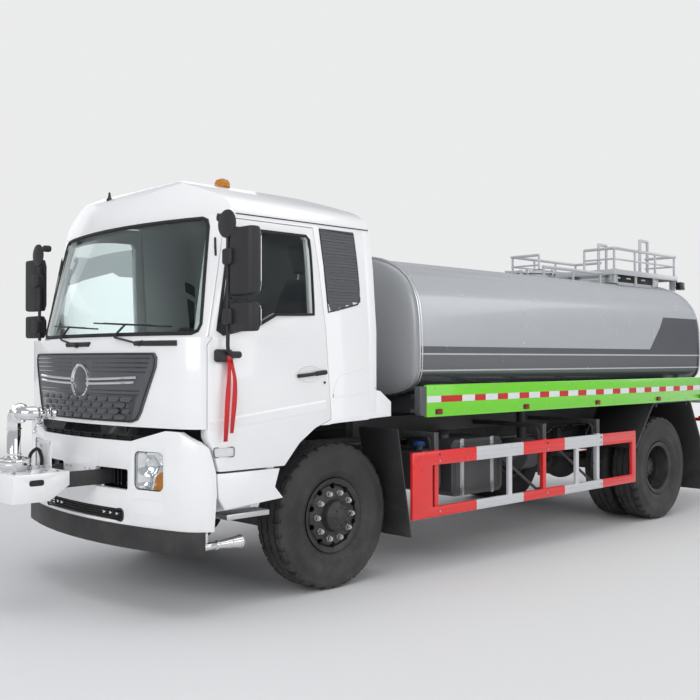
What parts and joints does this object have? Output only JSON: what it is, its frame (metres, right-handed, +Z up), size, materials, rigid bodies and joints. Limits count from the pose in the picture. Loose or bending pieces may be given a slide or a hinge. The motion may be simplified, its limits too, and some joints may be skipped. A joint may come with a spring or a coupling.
{
  "type": "tanker truck",
  "caption": "Two-axle water tanker truck with a flat-fronted tilting cab, rounded-box tank, side guards, rear platform and front water monitor.",
  "frame": {"origin": "on the ground under the middle of the overall length and width", "axes": "+X forward, +Y to the vehicle's left, +Z up"},
  "size_m": [8.58, 3.07, 3.088],
  "materials": {
    "chassis_black": "satin",
    "cab_white": "gloss",
    "grille_blue_grey": "satin",
    "trim_black": "matte",
    "interior_grey": "matte",
    "seat_fabric": "matte",
    "window_glass": "clear",
    "lamp_clear": "gloss",
    "lamp_red": "gloss",
    "beacon_amber": "gloss",
    "tank_silver": "gloss",
    "skirt_green": "gloss",
    "guard_red": "gloss",
    "frame_grey": "satin",
    "steel_bright": "brushed",
    "step_aluminium": "satin",
    "chrome": "polished",
    "tyre_rubber": "matte",
    "rim_black": "satin",
    "cast_grey": "rough"
  },
  "bodies": {
    "chassis": {"chassis_frame": "chassis_black", "front_axle_beam": "cast_grey", "leaf_springs": "chassis_black", "rear_axle_housing": "cast_grey", "engine_block": "cast_grey", "propeller_shaft": "chassis_black", "front_bumper": "cab_white", "underrun_bar": "trim_black", "headlamps": "lamp_clear", "monitor_bracket": "cab_white", "spray_nozzles": "chrome", "water_tank": "tank_silver", "tank_subframe": "frame_grey", "side_skirts": "skirt_green", "side_guards": "guard_red", "side_tanks": "frame_grey", "air_reservoirs": "chassis_black", "battery_box": "trim_black", "silencer": "steel_bright", "mudguards": "trim_black", "rear_platform": "tank_silver", "tank_railings": "tank_silver", "manhole_neck": "tank_silver", "rear_ladder": "tank_silver", "rear_lamps": "lamp_red", "rear_bumper": "guard_red", "water_pump": "cast_grey", "water_pipes": "frame_grey"},
    "cab": {"cab_floor": "interior_grey", "cab_back_wall": "cab_white", "cab_roof": "cab_white", "cab_front_panel": "cab_white", "cab_side_frames": "cab_white", "windshield": "window_glass", "wheel_arches": "cab_white", "cab_steps": "step_aluminium", "grille_panel": "grille_blue_grey", "dashboard": "interior_grey", "seats": "seat_fabric", "beacon": "beacon_amber"},
    "door_left": {"door_left": "cab_white", "door_glass_left": "window_glass", "mirror_left": "trim_black"},
    "door_right": {"door_right": "cab_white", "door_glass_right": "window_glass", "mirror_right": "trim_black"},
    "knuckle_left": {"knuckle_left": "cast_grey"},
    "knuckle_right": {"knuckle_right": "cast_grey"},
    "wheel_front_left": {"tyre_front_left": "tyre_rubber", "rim_front_left": "rim_black"},
    "wheel_front_right": {"tyre_front_right": "tyre_rubber", "rim_front_right": "rim_black"},
    "wheels_rear_left": {"tyres_rear_left": "tyre_rubber", "rims_rear_left": "rim_black"},
    "wheels_rear_right": {"tyres_rear_right": "tyre_rubber", "rims_rear_right": "rim_black"},
    "steering_wheel": {"steering_wheel": "trim_black"},
    "monitor_elbow": {"monitor_elbow": "chrome"},
    "monitor_barrel": {"monitor_barrel": "chrome"},
    "manhole_lid": {"manhole_lid": "tank_silver"}
  },
  "joints": [
    {"name": "cab_tilt", "type": "hinge", "parent": "chassis", "child": "cab", "pos_m": [3.58, 0, 1.08], "axis": [0, 1, 0], "range_deg": [0, 40]},
    {"name": "door_left_hinge", "type": "hinge", "parent": "cab", "child": "door_left", "pos_m": [3.375, 1.186, 1.6], "axis": [0, 0, -1], "range_deg": [0, 65]},
    {"name": "door_right_hinge", "type": "hinge", "parent": "cab", "child": "door_right", "pos_m": [3.375, -1.186, 1.6], "axis": [0, 0, 1], "range_deg": [0, 65]},
    {"name": "steer_left", "type": "hinge", "parent": "chassis", "child": "knuckle_left", "pos_m": [2.26, 0.8, 0.525], "axis": [0, 0, 1], "range_deg": [-38, 38]},
    {"name": "steer_right", "type": "hinge", "parent": "chassis", "child": "knuckle_right", "pos_m": [2.26, -0.8, 0.525], "axis": [0, 0, 1], "range_deg": [-38, 38]},
    {"name": "steering_column", "type": "hinge", "parent": "cab", "child": "steering_wheel", "pos_m": [2.99, 0.52, 1.8], "axis": [-0.4695, 0, 0.8829], "range_deg": [-620, 620]},
    {"name": "wheel_front_left_spin", "type": "hinge", "parent": "knuckle_left", "child": "wheel_front_left", "pos_m": [2.26, 0.96, 0.525], "axis": [0, 1, 0], "continuous": true},
    {"name": "wheel_front_right_spin", "type": "hinge", "parent": "knuckle_right", "child": "wheel_front_right", "pos_m": [2.26, -0.96, 0.525], "axis": [0, 1, 0], "continuous": true},
    {"name": "wheels_rear_left_spin", "type": "hinge", "parent": "chassis", "child": "wheels_rear_left", "pos_m": [-2.24, 0.925, 0.525], "axis": [0, 1, 0], "continuous": true},
    {"name": "wheels_rear_right_spin", "type": "hinge", "parent": "chassis", "child": "wheels_rear_right", "pos_m": [-2.24, -0.925, 0.525], "axis": [0, 1, 0], "continuous": true},
    {"name": "monitor_yaw", "type": "hinge", "parent": "chassis", "child": "monitor_elbow", "pos_m": [4.16, 0, 0.91], "axis": [0, 0, 1], "range_deg": [-175, 175]},
    {"name": "monitor_pitch", "type": "hinge", "parent": "monitor_elbow", "child": "monitor_barrel", "pos_m": [4.16, 0.084, 1.295], "axis": [0, 1, 0], "range_deg": [-25, 60]},
    {"name": "manhole_lid_hinge", "type": "hinge", "parent": "chassis", "child": "manhole_lid", "pos_m": [-1.395, 0, 2.575], "axis": [0, 1, 0], "range_deg": [0, 100]}
  ],
  "couplings": [
    {"joint": "steer_right", "follows": "steer_left", "ratio": 1},
    {"joint": "steering_column", "follows": "steer_left", "ratio": 16}
  ]
}
